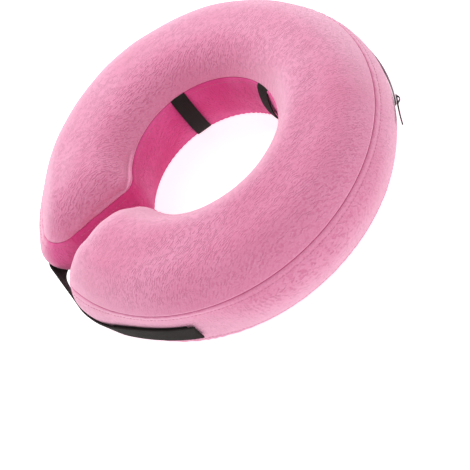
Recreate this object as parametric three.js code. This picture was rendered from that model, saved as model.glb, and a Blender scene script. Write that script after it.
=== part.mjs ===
// Inflatable recovery collar for a pet: a split ring of plush panels, closed round the neck by a strap.
// Millimetres, +Z up. It lies on its back panel with its domed face up and its split towards -Y.
// Angles are radians, anticlockwise from the split seen from above. The near end comes first.

import * as THREE from "three";

// The ring in plan
const RIM_R = 165; // seam between the face and the outer wall
const NECK_R_REAR = 78.4; // seam between the face and the inner wall, opposite the split
const NECK_R_SIDE = 70.5;
const NECK_R_SPLIT = 67.4;
const BACK_NECK_R = 78; // seam between the back and the inner wall
const SPLIT_AT_NECK = 17; // between the two face edges
const SPLIT_AT_RIM = 27;
const SPLIT_SHIFT_NECK = 9.5; // the split's middle lies to the far end's side of the axis
const SPLIT_SHIFT_RIM = 15;
const NEAR_RIM_CORNER_R = 30; // quarter rounds where the ends meet the walls
const NEAR_NECK_CORNER_R = 22;
const FAR_RIM_CORNER_R = 24;
const FAR_NECK_CORNER_R = 10;

// Heights
const OUTER_WALL_H = 50;
const INNER_WALL_H = 58.5;
const BACK_RISE_RIM = 8.6; // the back seams stand this far above the surface it rests on
const BACK_RISE_NECK = 5.2;
const FACE_CROWN = 30; // the face's dome above its seams
const FACE_END_RUN = 40; // over this length the dome falls to an end seam

// How far the panels swell and lean
const OUTER_BULGE = 8.2; // at the rear
const NEAR_BULGE = 9; // of the outer wall at the near end
const FAR_BULGE = 18; // and at the far end
const PRESSED_BULGE = 1.5; // and under the strap, which presses it flat
const PRESSED_ANGLE = THREE.MathUtils.degToRad(45);
const PRESSED_SPREAD = THREE.MathUtils.degToRad(24);
const INNER_BULGE = 4.4;
const END_BULGE = 3;
const END_CROWN = 4; // extra swell in the middle of an end
const BACK_INSET_RIM = 3; // the back seam lies inside the face seam
const BACK_INSET_END = 3;
const REST_SPREAD = 1.35; // share of the back's crown that the resting surface presses flat
const GATHER_DEPTH = 1.6; // folds that run into an end seam
const GATHER_RUN = 26;

// Cloth and the clearance between sewn pieces
const CLOTH = 2.5;
const SEAM_GAP = 0.3;

// Webbing loops on the inner wall, for the pet's own collar
const LOOP_W = 15;
const LOOP_T = 1.4;
const LOOP_SLACK = 2.2;
const LOOP_TUCK = 2.5; // left bare above and below a loop
const LOOP_ANGLES = [102, 186, 258].map(THREE.MathUtils.degToRad);

// Closure strap on the outer wall, sewn to the far end, and the band it grips on the near end
const STRAP_W = 20;
const STRAP_T = 2;
const STRAP_FOOT = 13; // above the back seam, where it grips
const STRAP_DROP = 12; // it crosses the split this much lower
const STRAP_SEWN_ANGLE = THREE.MathUtils.degToRad(-50);
const STRAP_TIP_ANGLE = THREE.MathUtils.degToRad(53.5);
const SPAN_PAST_CORNER = THREE.MathUtils.degToRad(1.5); // where it leaves each end for the split
const BAND_T = 1.2;
const BAND_START_ANGLE = THREE.MathUtils.degToRad(24);
const BAND_END_ANGLE = THREE.MathUtils.degToRad(51);
const STRAP_CLIMB_ANGLE = THREE.MathUtils.degToRad(12); // it rises onto the band before its start

// Zip across the rear of the outer wall
const ZIP_W = 5;
const ZIP_T = 1.6;
const ZIP_BELOW_SEAM = 31;
const ZIP_START_ANGLE = THREE.MathUtils.degToRad(153);
const ZIP_END_ANGLE = THREE.MathUtils.degToRad(213);
const SLIDER_L = 9;
const SLIDER_W = 6.5;
const SLIDER_T = 3.6;
const SLIDER_SKIN = 1.1; // metal round the eye that holds the pull
const PULL_L = 21;
const PULL_W = 6;
const PULL_T = 1.2;
const PULL_LIFT = 2.5; // its tip stands off the slider's back

// Facets
const CORNER_STEPS = 5;
const RING_STEPS = 64;
const FACE_STEPS = 10;
const BACK_STEPS = 8;
const OUTER_WALL_STEPS = 5;
const INNER_WALL_STEPS = 4;
const END_STEPS = 8;
const STRAP_STEPS = { far: 12, span: 8, near: 16, band: 11, up: 5 };
const CORNER_SHARE = 0.05; // of the way along the ring, given to each corner

const NECK = 0; // the two long sides of the ring
const RIM = 1;
const FULL_TURN = 2 * Math.PI;
const mix = THREE.MathUtils.lerp;

// A hump from 0 to 1 and back that is fuller than a parabola.
const crown = (share) => 1 - Math.abs(2 * share - 1) ** 3;
const arch = (share) => 4 * share * (1 - share);
const ease = (share) => THREE.MathUtils.smoothstep(share, 0, 1);
const toEnd = (along) => Math.min(along, 1 - along);
const steps = (count, low = 0, high = 1) =>
  Array.from({ length: count + 1 }, (_, i) => mix(low, high, i / count));

// The neck seam is a little egg-shaped: a mean radius with a first and a second harmonic.
function neckRadius(angle) {
  const ends = (NECK_R_REAR + NECK_R_SPLIT) / 2;
  const mean = (ends + NECK_R_SIDE) / 2;
  const skew = (NECK_R_REAR - NECK_R_SPLIT) / 2;
  const oval = (ends - NECK_R_SIDE) / 2;
  return mean - skew * Math.cos(angle) + oval * Math.cos(2 * angle);
}

// The two ends: which way each faces, and its corners.
const ENDS = [
  { faces: -1, neckCorner: NEAR_NECK_CORNER_R, rimCorner: NEAR_RIM_CORNER_R },
  { faces: 1, neckCorner: FAR_NECK_CORNER_R, rimCorner: FAR_RIM_CORNER_R },
];
const endOf = (along) => (along > 0.5 ? 1 : 0);
const cornerOf = (side, end) => (side === RIM ? end.rimCorner : end.neckCorner);

// The x of an end's edge at a distance from the axis.
function edgeX(end, radius) {
  const share = (radius - NECK_R_SPLIT) / (RIM_R - NECK_R_SPLIT);
  const half = mix(SPLIT_AT_NECK, SPLIT_AT_RIM, share) / 2;
  return -mix(SPLIT_SHIFT_NECK, SPLIT_SHIFT_RIM, share) - ENDS[end].faces * half;
}

// A corner's quarter round, from the end edge (0) to the long side (1).
function cornerPlan(side, end, share) {
  const turn = (share * Math.PI) / 2;
  const round = cornerOf(side, ENDS[end]);
  const depth = round * (1 - Math.sin(turn));
  const radius = side === RIM ? RIM_R - depth : NECK_R_SPLIT + depth;
  const x = edgeX(end, radius) - ENDS[end].faces * round * (1 - Math.cos(turn));
  return new THREE.Vector2(x, -Math.sqrt(radius ** 2 - x ** 2));
}

// The angle where a corner ends and the long side begins, measured from the split's zero.
function cornerAngle(side, end) {
  const point = cornerPlan(side, end, 1);
  return Math.atan2(point.x, -point.y) + end * FULL_TURN;
}

// The angle at a place along a long side, held at the corners.
function angleAt(side, along) {
  const share = (along - CORNER_SHARE) / (1 - 2 * CORNER_SHARE);
  return mix(cornerAngle(side, 0), cornerAngle(side, 1), THREE.MathUtils.clamp(share, 0, 1));
}

// The face seam in plan: along a long side from the near end (0) round the ring to the far end (1).
function seamPlan(side, along) {
  if (toEnd(along) < CORNER_SHARE)
    return cornerPlan(side, endOf(along), toEnd(along) / CORNER_SHARE);
  const angle = angleAt(side, along);
  const radius = side === RIM ? RIM_R : neckRadius(angle) - neckSettle(along);
  return new THREE.Vector2(radius * Math.sin(angle), -radius * Math.cos(angle));
}

// The egg's own radius where a corner ends is not quite the radius at the split, so it eases there.
function neckSettle(along) {
  const step = neckRadius(cornerAngle(NECK, endOf(along))) - NECK_R_SPLIT;
  return step * Math.max(0, 2 - toEnd(along) / CORNER_SHARE);
}

// The way out of the ring, square to the seam in plan.
function planNormal(side, along) {
  const reach = 1e-3;
  const tangent = seamPlan(side, Math.min(1, along + reach));
  tangent.sub(seamPlan(side, Math.max(0, along - reach))).normalize();
  const out = side === RIM ? 1 : -1;
  return new THREE.Vector2(tangent.y * out, -tangent.x * out);
}

const SIDES = [
  { faceZ: BACK_RISE_NECK + INNER_WALL_H, backZ: BACK_RISE_NECK },
  { faceZ: BACK_RISE_RIM + OUTER_WALL_H, backZ: BACK_RISE_RIM },
];

// How far the outer wall swells at mid height: little under the strap, most at the far end.
function rimSwell(angle) {
  const half = angle / Math.PI;
  const late = ease(half - 1) ** 2;
  const free = half < 1 ? mix(NEAR_BULGE, OUTER_BULGE, half) : mix(OUTER_BULGE, FAR_BULGE, late);
  return mix(free, PRESSED_BULGE, Math.exp(-(((angle - PRESSED_ANGLE) / PRESSED_SPREAD) ** 4)));
}

// A long wall's swell at mid height, and how far its back seam lies inside its face seam.
function wallForm(side, along) {
  const ends = ease(toEnd(along) / CORNER_SHARE);
  const angle = angleAt(side, along);
  const bulge = side === RIM ? rimSwell(angle) : INNER_BULGE;
  const inset = side === RIM ? BACK_INSET_RIM : BACK_NECK_R - neckRadius(angle);
  return { swell: mix(END_BULGE, bulge, ends), lean: mix(BACK_INSET_END, inset, ends) };
}

// A long wall: down runs from the face seam (0) to the back seam (1). Its swell and lean ease into the ends'.
function wallPoint(side, along, down) {
  const { faceZ, backZ } = SIDES[side];
  const { swell, lean } = wallForm(side, along);
  const plan = seamPlan(side, along);
  plan.addScaledVector(planNormal(side, along), swell * arch(down) - lean * down);
  return new THREE.Vector3(plan.x, plan.y, mix(faceZ, backZ, down));
}

// An end wall, straight in plan between its two corners. The near end is 0 and the far end 1.
function endPoint(end, across, down) {
  const neck = wallPoint(NECK, end, down);
  const rim = wallPoint(RIM, end, down);
  const run = seamPlan(RIM, end).sub(seamPlan(NECK, end)).normalize();
  const swell = -ENDS[end].faces * END_CROWN * arch(across) * arch(down);
  const point = neck.lerp(rim, across);
  return point.add(new THREE.Vector3(run.y, -run.x, 0).multiplyScalar(swell));
}

// How far the dome has risen, from the end seam (0) to its full height (1).
function endDistance(along) {
  const middle = (at) => seamPlan(NECK, at).lerp(seamPlan(RIM, at), 0.5);
  return middle(along).distanceTo(middle(Math.round(along)));
}

const endRise = (along) => 1 - (1 - Math.min(1, endDistance(along) / FACE_END_RUN)) ** 3;

// The face: straight across in plan from the neck seam (0) to the rim seam (1), domed both ways. A row for
// each fold that runs into an end seam: where it lies across the panel, its width there and its depth.
const GATHERS = [
  { across: 0.1, width: 0.09, depth: 1 },
  { across: 0.34, width: 0.06, depth: 0.5 },
  { across: 0.62, width: 0.07, depth: 0.65 },
  { across: 0.86, width: 0.08, depth: 0.9 },
];

function facePoint(along, across) {
  const plan = seamPlan(NECK, along).lerp(seamPlan(RIM, along), across);
  const seamZ = mix(SIDES[NECK].faceZ, SIDES[RIM].faceZ, across);
  const dome = FACE_CROWN * crown(across) * endRise(along);
  const distance = endDistance(along);
  const near = (distance / GATHER_RUN) * Math.exp(1 - distance / GATHER_RUN);
  const folds = GATHERS.map(({ across: at, width, depth }) =>
    depth * Math.exp(-(((across - at) / width) ** 2)),
  );
  const fold = GATHER_DEPTH * near * crown(across) * folds.reduce((sum, each) => sum + each);
  return new THREE.Vector3(plan.x, plan.y, seamZ + dome - fold);
}

// The back: it sags from its seams to the resting surface and lies flat there.
function backPoint(along, across) {
  const point = wallPoint(NECK, along, 1).lerp(wallPoint(RIM, along, 1), across);
  const sag = Math.min(1, REST_SPREAD * crown(across) * endRise(along));
  point.z *= 1 - sag;
  return point;
}

// The outward normal of a surface of two parameters, by central differences, no nearer to a border than the
// surface's margin.
function normalOf(surface, atU, atV) {
  const reach = 2e-4;
  const margin = Math.max(reach, surface.margin);
  const [u, v] = [atU, atV].map((value) => THREE.MathUtils.clamp(value, margin, 1 - margin));
  const du = surface.point(u + reach, v).sub(surface.point(u - reach, v));
  const dv = surface.point(u, v + reach).sub(surface.point(u, v - reach));
  return du.cross(dv).normalize().multiplyScalar(surface.out);
}

// The face and the back have a margin because both their parameters run the same way at a rounded corner.
const CORNER_MARGIN = 4e-3;
const face = { point: facePoint, out: -1, margin: CORNER_MARGIN };
const back = { point: backPoint, out: 1, margin: CORNER_MARGIN };
const outerWall = { point: (along, down) => wallPoint(RIM, along, down), out: -1, margin: 0 };
const innerWall = { point: (along, down) => wallPoint(NECK, along, down), out: 1, margin: 0 };
const nearEnd = { point: (across, down) => endPoint(0, across, down), out: -1, margin: 0 };
const farEnd = { point: (across, down) => endPoint(1, across, down), out: 1, margin: 0 };

// A closed slab between two surfaces that are sampled on the same grid.
function slab(upper, lower, us, vs) {
  const rows = us.length;
  const columns = vs.length;
  const points = [upper, lower].flatMap((at) => us.flatMap((u) => vs.map((v) => at(u, v))));
  const index = (layer, i, j) => (layer * rows + i) * columns + j;
  const triangles = [];
  const quad = (a, b, c, d) => triangles.push(a, b, c, a, c, d);
  for (let i = 0; i < rows - 1; i++)
    for (let j = 0; j < columns - 1; j++) {
      quad(index(0, i, j), index(0, i + 1, j), index(0, i + 1, j + 1), index(0, i, j + 1));
      quad(index(1, i, j), index(1, i, j + 1), index(1, i + 1, j + 1), index(1, i + 1, j));
    }
  for (let i = 0; i < rows - 1; i++)
    for (const [j, k] of [[0, 1], [columns - 1, 0]])
      quad(index(k, i, j), index(k, i + 1, j), index(1 - k, i + 1, j), index(1 - k, i, j));
  for (let j = 0; j < columns - 1; j++)
    for (const [i, k] of [[0, 0], [rows - 1, 1]])
      quad(index(k, i, j), index(k, i, j + 1), index(1 - k, i, j + 1), index(1 - k, i, j));
  return facingOut(points, triangles);
}

// Turns the triangles round if they enclose a negative volume.
function facingOut(points, triangles) {
  let volume = 0;
  for (let i = 0; i < triangles.length; i += 3) {
    const [a, b, c] = triangles.slice(i, i + 3).map((each) => points[each]);
    volume += a.dot(b.clone().cross(c));
  }
  const geometry = new THREE.BufferGeometry().setFromPoints(points);
  geometry.setIndex(volume < 0 ? triangles.reverse() : triangles);
  geometry.computeVertexNormals();
  return geometry;
}

// A cloth panel. edges gives, for each border, the normal of the panel sewn to it, if that one turns away
// there: the two thicknesses then meet on a mitre.
function panel(surface, us, vs, edges = {}) {
  const sewn = (u, v) => {
    if (v === vs[0] && edges.vLow) return edges.vLow(u);
    if (v === vs.at(-1) && edges.vHigh) return edges.vHigh(u);
    if (u === us[0] && edges.uLow) return edges.uLow(v);
    if (u === us.at(-1) && edges.uHigh) return edges.uHigh(v);
    return null;
  };
  const inside = (u, v) => {
    const normal = normalOf(surface, u, v);
    const other = sewn(u, v);
    const share = other ? 1 / (1 + normal.dot(other)) : 1;
    if (other) normal.add(other);
    return surface.point(u, v).addScaledVector(normal, -CLOTH * share);
  };
  return slab(surface.point, inside, us, vs);
}

// Grid lines along the ring, closer together round the corners, with half a seam's gap left at each end.
const PANEL_WIDTH = RIM_R - NECK_R_SIDE;
const acrossTrim = SEAM_GAP / PANEL_WIDTH;
const cornerTrim = (round) => (SEAM_GAP * CORNER_SHARE) / (round * Math.PI / 2);
const alongLines = (nearTrim, farTrim) => [
  ...steps(CORNER_STEPS, nearTrim, CORNER_SHARE).slice(0, -1),
  ...steps(RING_STEPS, CORNER_SHARE, 1 - CORNER_SHARE),
  ...steps(CORNER_STEPS, 1 - CORNER_SHARE, 1 - farTrim).slice(1),
];
const wallLines = (side) => alongLines(...ENDS.map((end) => cornerTrim(cornerOf(side, end))));
const panelLines = alongLines(...ENDS.map((end) => cornerTrim((end.neckCorner + end.rimCorner) / 2)));

function facePanel() {
  return panel(face, panelLines, steps(FACE_STEPS, acrossTrim, 1 - acrossTrim), {
    vLow: (along) => normalOf(innerWall, along, 0),
    vHigh: (along) => normalOf(outerWall, along, 0),
    uLow: (across) => normalOf(nearEnd, across, 0),
    uHigh: (across) => normalOf(farEnd, across, 0),
  });
}

function backPanel() {
  return panel(back, panelLines, steps(BACK_STEPS, acrossTrim, 1 - acrossTrim), {
    vLow: (along) => normalOf(innerWall, along, 1),
    vHigh: (along) => normalOf(outerWall, along, 1),
    uLow: (across) => normalOf(nearEnd, across, 1),
    uHigh: (across) => normalOf(farEnd, across, 1),
  });
}

function longWall(side, surface, count) {
  const trim = SEAM_GAP / (SIDES[side].faceZ - SIDES[side].backZ);
  return panel(surface, wallLines(side), steps(count, trim, 1 - trim), {
    vLow: (along) => normalOf(face, along, side),
    vHigh: (along) => normalOf(back, along, side),
  });
}

function endWall(end, surface) {
  const trim = SEAM_GAP / OUTER_WALL_H;
  return panel(
    surface,
    steps(END_STEPS, acrossTrim, 1 - acrossTrim),
    steps(OUTER_WALL_STEPS, trim, 1 - trim),
    {
      vLow: (across) => normalOf(face, end, across),
      vHigh: (across) => normalOf(back, end, across),
    },
  );
}

// Where an angle lies along a long side, from 0 to 1.
function alongAt(side, angle) {
  const [start, stop] = [0, 1].map((end) => cornerAngle(side, end));
  return mix(CORNER_SHARE, 1 - CORNER_SHARE, (angle - start) / (stop - start));
}

// A webbing loop over the inner wall, fast at both seams and a little slack between them.
function neckLoop(angle) {
  const middle = alongAt(NECK, angle);
  const halfWidth = LOOP_W / 2 / neckRadius(angle) / FULL_TURN;
  const tuck = LOOP_TUCK / INNER_WALL_H;
  const lifted = (extra) => (along, down) => {
    const lift = SEAM_GAP + LOOP_SLACK * arch(down) + extra;
    return wallPoint(NECK, along, down).addScaledVector(normalOf(innerWall, along, down), lift);
  };
  return slab(
    lifted(0),
    lifted(LOOP_T),
    steps(2, middle - halfWidth, middle + halfWidth),
    steps(8, tuck, 1 - tuck),
  );
}

// A point off the outer wall: its angle, its height above the resting surface and its distance out.
function offRim(angle, z, out) {
  const { faceZ, backZ } = SIDES[RIM];
  const down = (faceZ - z) / (faceZ - backZ);
  const swell = rimSwell(angle < 0 ? angle + FULL_TURN : angle);
  const radius = RIM_R - BACK_INSET_RIM * down + swell * arch(down) + out;
  return new THREE.Vector3(radius * Math.sin(angle), -radius * Math.cos(angle), z);
}

// The strap leaves the far end's corner and meets the near end's a little past where each starts to turn.
const SPAN_START = cornerAngle(RIM, 1) - FULL_TURN + SPAN_PAST_CORNER;
const SPAN_STOP = cornerAngle(RIM, 0) - SPAN_PAST_CORNER;

// A band round the outer wall, straight and upright across the split. liftAt is its distance from the wall.
function rimBand(angles, thickness, liftAt) {
  const at = (extra) => (angle, up) => {
    const foot = BACK_RISE_RIM + STRAP_FOOT - STRAP_DROP * (1 - ease(angle / PRESSED_ANGLE));
    const z = foot + STRAP_W * up;
    const across = THREE.MathUtils.clamp((angle - SPAN_START) / (SPAN_STOP - SPAN_START), 0, 1);
    const level = mix(z, foot + STRAP_W, crown(across));
    const out = liftAt(angle) + extra;
    if (across === 0 || across === 1) return offRim(angle, level, out).setZ(z);
    const start = offRim(SPAN_START, level, out);
    return start.lerp(offRim(SPAN_STOP, level, out), across).setZ(z);
  };
  return slab(at(0), at(thickness), angles, steps(STRAP_STEPS.up));
}

function closureStrap() {
  const climb = (angle) => {
    const share = (angle - BAND_START_ANGLE) / STRAP_CLIMB_ANGLE + 1;
    return SEAM_GAP + (BAND_T + SEAM_GAP) * ease(share);
  };
  const angles = [
    ...steps(STRAP_STEPS.far, STRAP_SEWN_ANGLE, SPAN_START),
    ...steps(STRAP_STEPS.span, SPAN_START, SPAN_STOP).slice(1),
    ...steps(STRAP_STEPS.near, SPAN_STOP, STRAP_TIP_ANGLE).slice(1),
  ];
  return rimBand(angles, STRAP_T, climb);
}

function gripBand() {
  return rimBand(steps(STRAP_STEPS.band, BAND_START_ANGLE, BAND_END_ANGLE), BAND_T, () => SEAM_GAP);
}

const ZIP_Z = SIDES[RIM].faceZ - ZIP_BELOW_SEAM;

function zip() {
  const at = (out) => (angle, up) => offRim(angle, ZIP_Z + ZIP_W * (up - 0.5), SEAM_GAP + out);
  return slab(at(0), at(ZIP_T), steps(20, ZIP_START_ANGLE, ZIP_END_ANGLE), steps(2));
}

// The slider is a plate with an eye over it, drawn from the side and extruded across the zip.
const SLIDER_ANGLE = ZIP_START_ANGLE + SLIDER_L / 2 / RIM_R;

function zipSlider() {
  const half = SLIDER_L / 2;
  const side = new THREE.Shape();
  side.moveTo(-half, 0);
  side.lineTo(half, 0);
  side.lineTo(half, SLIDER_SKIN * 0.8);
  side.quadraticCurveTo(half * 0.9, SLIDER_T, half * 0.3, SLIDER_T);
  side.lineTo(-half * 0.3, SLIDER_T);
  side.quadraticCurveTo(-half * 0.9, SLIDER_T, -half, SLIDER_SKIN * 0.8);
  side.closePath();
  const eye = new THREE.Path();
  eye.moveTo(-half + 2 * SLIDER_SKIN, SLIDER_SKIN);
  eye.lineTo(half - 2 * SLIDER_SKIN, SLIDER_SKIN);
  eye.lineTo(half * 0.3, SLIDER_T - SLIDER_SKIN);
  eye.lineTo(-half * 0.3, SLIDER_T - SLIDER_SKIN);
  eye.closePath();
  side.holes.push(eye);
  const options = { depth: SLIDER_W, bevelEnabled: false, curveSegments: 4 };
  const geometry = new THREE.ExtrudeGeometry(side, options);
  geometry.translate(0, 0, -SLIDER_W / 2);
  return geometry;
}

// Stands the slider on the zip: its length along the rim and its height square to the wall.
function seatSlider(mesh) {
  const rise = offRim(SLIDER_ANGLE, ZIP_Z + ZIP_W / 2, 0).sub(offRim(SLIDER_ANGLE, ZIP_Z - ZIP_W / 2, 0));
  const along = new THREE.Vector3(Math.cos(SLIDER_ANGLE), Math.sin(SLIDER_ANGLE), 0);
  const out = along.clone().cross(rise.normalize());
  const turn = new THREE.Matrix4().makeBasis(along, out, along.clone().cross(out));
  mesh.position.copy(offRim(SLIDER_ANGLE, ZIP_Z, 2 * SEAM_GAP + ZIP_T));
  mesh.quaternion.setFromRotationMatrix(turn);
}

// The pull is a ribbon that starts against the slider's end and curves away from the wall.
function zipPull() {
  const start = SLIDER_ANGLE - (SLIDER_L / 2 + SEAM_GAP) / RIM_R;
  const stop = start - PULL_L / RIM_R;
  const at = (extra) => (angle, up) => {
    const share = (start - angle) / (start - stop);
    const lift = 2 * SEAM_GAP + ZIP_T + PULL_LIFT * share ** 2 + extra;
    return offRim(angle, ZIP_Z, lift).add(new THREE.Vector3(0, 0, PULL_W * (up - 0.5)));
  };
  return slab(at(0), at(PULL_T), steps(7, start, stop), [0, 1]);
}

// Finishes
const plush = new THREE.MeshStandardMaterial({ color: 0xe88fb8, roughness: 0.95, metalness: 0 });
const webbing = new THREE.MeshStandardMaterial({ color: 0x2b2926, roughness: 0.85, metalness: 0 });
const zipTape = new THREE.MeshStandardMaterial({ color: 0x6d5f66, roughness: 0.7, metalness: 0 });
const sliderMetal = new THREE.MeshStandardMaterial({ color: 0x3a3a3c, roughness: 0.4, metalness: 0.8 });

const collar = new THREE.Group();

function add(name, geometry, material) {
  const mesh = new THREE.Mesh(geometry, material);
  mesh.name = name;
  collar.add(mesh);
  return mesh;
}

add("face_panel", facePanel(), plush);
add("back_panel", backPanel(), plush);
add("outer_wall", longWall(RIM, outerWall, OUTER_WALL_STEPS), plush);
add("inner_wall", longWall(NECK, innerWall, INNER_WALL_STEPS), plush);
add("end_wall_near", endWall(0, nearEnd), plush);
add("end_wall_far", endWall(1, farEnd), plush);
LOOP_ANGLES.forEach((angle, i) => add(`neck_loop_${i + 1}`, neckLoop(angle), webbing));
add("grip_band", gripBand(), webbing);
add("closure_strap", closureStrap(), webbing);
add("zip", zip(), zipTape);
seatSlider(add("zip_slider", zipSlider(), sliderMetal));
add("zip_pull", zipPull(), webbing);

export default collar;
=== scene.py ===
import math

import bpy
import numpy as np
from mathutils import Matrix, Vector


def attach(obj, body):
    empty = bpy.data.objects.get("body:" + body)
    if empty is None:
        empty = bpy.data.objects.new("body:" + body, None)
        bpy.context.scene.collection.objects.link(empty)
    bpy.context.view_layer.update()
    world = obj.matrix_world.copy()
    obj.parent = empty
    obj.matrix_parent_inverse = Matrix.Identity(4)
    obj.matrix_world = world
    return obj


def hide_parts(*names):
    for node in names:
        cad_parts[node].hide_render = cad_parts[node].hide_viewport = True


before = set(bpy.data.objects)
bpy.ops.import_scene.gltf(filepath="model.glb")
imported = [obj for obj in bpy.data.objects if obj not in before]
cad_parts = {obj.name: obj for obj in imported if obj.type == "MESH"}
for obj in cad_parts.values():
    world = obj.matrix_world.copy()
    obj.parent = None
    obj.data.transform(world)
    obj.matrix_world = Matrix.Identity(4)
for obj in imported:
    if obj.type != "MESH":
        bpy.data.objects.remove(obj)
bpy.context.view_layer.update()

MM = 0.001
TURN = 2 * math.pi

bl_info = {
    "name": "Inflatable Recovery Collar",
    "version": (1, 0, 0),
    "blender": (4, 5, 0),
    "location": "View3D > Sidebar > Collar",
    "description": "A plush inflatable recovery collar with its webbing, closure strap and zip",
    "category": "Add Mesh",
}


# Sizes and colours

def length(name, default, description):
    """A length in metres, given here in millimetres."""
    return bpy.props.FloatProperty(
        name=name, description=description, default=default * MM, unit="LENGTH", precision=5
    )


def angle(name, default, description):
    """An angle, given here in degrees anticlockwise from the split."""
    return bpy.props.FloatProperty(
        name=name, description=description, default=math.radians(default), subtype="ANGLE"
    )


def colour(name, default, description):
    """A linear colour."""
    return bpy.props.FloatVectorProperty(
        name=name, description=description, default=default, subtype="COLOR", size=3, min=0, max=1
    )


class RingSizes(bpy.types.PropertyGroup):
    """The ring's outline, heights and swell."""

    rim_radius: length("Rim radius", 165, "Seam between the face and the outer wall")
    neck_rear: length("Neck radius at the rear", 78.4, "Neck seam opposite the split")
    neck_side: length("Neck radius at the sides", 70.5, "Neck seam at the sides")
    neck_split: length("Neck radius at the split", 67.4, "Neck seam at the split")
    back_neck: length("Back neck radius", 78, "Seam between the back and the inner wall")
    split_neck: length("Split at the neck", 17, "Width between the face edges at the neck")
    split_rim: length("Split at the rim", 27, "Width between the face edges at the rim")
    shift_neck: length("Split shift at the neck", 9.5, "How far the split lies off the axis")
    shift_rim: length("Split shift at the rim", 15, "How far the split lies off the axis")
    near_rim_round: length("Near rim corner", 30, "Round of the near end at the rim")
    near_neck_round: length("Near neck corner", 22, "Round of the near end at the neck")
    far_rim_round: length("Far rim corner", 24, "Round of the far end at the rim")
    far_neck_round: length("Far neck corner", 10, "Round of the far end at the neck")
    outer_height: length("Outer wall height", 50, "Between the outer wall's seams")
    inner_height: length("Inner wall height", 58.5, "Between the inner wall's seams")
    rise_rim: length("Rise at the rim", 8.6, "Of the back seam over the floor at the rim")
    rise_neck: length("Rise at the neck", 5.2, "Of the back seam over the floor at the neck")
    dome: length("Dome", 30, "Of the face over its seams")
    dome_run: length("Dome run", 40, "Over which the dome falls to an end seam")
    rear_bulge: length("Rear bulge", 8.2, "Swell of the outer wall at the rear")
    near_bulge: length("Near bulge", 9, "Swell of the outer wall at the near end")
    far_bulge: length("Far bulge", 18, "Swell of the outer wall at the far end")
    pressed_bulge: length("Pressed bulge", 1.5, "Swell of the outer wall under the strap")
    pressed_at: angle("Pressed at", 45, "Middle of the part that the strap presses")
    pressed_spread: angle("Pressed spread", 24, "Half width of the part that the strap presses")
    inner_bulge: length("Inner bulge", 4.4, "Swell of the inner wall")
    end_bulge: length("End bulge", 3, "Swell of an end wall at its edges")
    end_crown: length("End crown", 4, "Extra swell in the middle of an end wall")
    inset_rim: length("Back inset at the rim", 3, "Of the back seam inside the face seam")
    inset_end: length("Back inset at the ends", 3, "Of the back seam inside the face seam")
    fold_depth: length("Fold depth", 1.6, "Of the folds that run into an end seam")
    fold_run: length("Fold run", 26, "How far the folds reach from an end seam")


class ClothSizes(bpy.types.PropertyGroup):
    """Seams, stitches and the pile."""

    groove: length("Seam groove", 1.0, "Depth of the valley along a seam")
    groove_width: length("Seam groove width", 0.65, "Half width of the valley along a seam")
    allowance: length("Seam allowance", 5.2, "From the seam to the top stitches on the wall")
    ridge: length("Allowance ridge", 0.3, "How far the allowance lifts the cloth over it")
    lip: length("Corner lip", 1.3, "How far the seam stands up at the far side's inner corner")
    pucker: length("Pucker", 0.5, "Depth of the puckers beside a seam")
    pucker_pitch: length("Pucker pitch", 8, "Between puckers along a seam")
    lean: length("Lean", 3.2, "How far the blown-up face of the near side leans over the neck")
    slack: length("Slack", 0.35, "Unevenness of the blown-up cloth")
    stitch: length("Stitch", 2.7, "Length of a stitch")
    stitch_pitch: length("Stitch pitch", 3.6, "Between the starts of stitches")
    thread: length("Thread", 0.5, "Thickness of the thread")
    swell_limit: length("Swell limit", 4, "The most a point moves when the cover is blown up")


class WebbingSizes(bpy.types.PropertyGroup):
    """The neck loops, the closure strap and its grip band."""

    loop_width: length("Loop width", 15, "Width of a neck loop")
    loop_thickness: length("Loop thickness", 1.4, "Thickness of a neck loop")
    loop_slack: length("Loop slack", 2.2, "How far a loop stands off the wall")
    loop_at: bpy.props.FloatVectorProperty(
        name="Loops at", description="Angles of the neck loops", size=3, subtype="EULER",
        default=(math.radians(102), math.radians(186), math.radians(258)),
    )
    strap_width: length("Strap width", 20, "Width of the closure strap")
    strap_thickness: length("Strap thickness", 2, "Thickness of the closure strap")
    strap_foot: length("Strap foot", 13, "Height of its lower edge over the back seam at its grip")
    strap_drop: length("Strap drop", 12, "How much lower it crosses the split")
    strap_from: angle("Strap from", -50, "Where it is sewn on")
    strap_to: angle("Strap to", 53.5, "Where its tip lies")
    span_start: angle("Span start", 1.5, "Past an end's corner, where the strap leaves the wall")
    band_thickness: length("Band thickness", 1.2, "Thickness of the grip band")
    band_from: angle("Band from", 24, "Where the grip band starts")
    band_to: angle("Band to", 51, "Where the grip band ends")
    climb: angle("Climb", 12, "Over which the strap rises onto the band")
    gap: length("Gap", 0.3, "Between sewn pieces")


class ZipSizes(bpy.types.PropertyGroup):
    """The zip in the outer wall."""

    width: length("Tape width", 5, "Of the strip that shows")
    thickness: length("Thickness", 1.6, "Of tape and coil")
    below: length("Below the seam", 31, "From the face seam to the zip")
    start: angle("Start", 153, "Where the zip starts")
    stop: angle("End", 213, "Where the zip ends")
    coil_pitch: length("Coil pitch", 1.5, "Between the coil's teeth")
    slider_length: length("Slider length", 9, "Length of the slider")
    slider_width: length("Slider width", 6.5, "Width of the slider")
    slider_height: length("Slider height", 3.6, "Height of the slider")
    pull_length: length("Pull length", 21, "Length of the ribbon pull")
    pull_width: length("Pull width", 6, "Width of the ribbon pull")
    pull_thickness: length("Pull thickness", 1.2, "Thickness of the ribbon pull")
    pull_lift: length("Pull lift", 2.5, "How far its tip stands off the wall")


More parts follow.
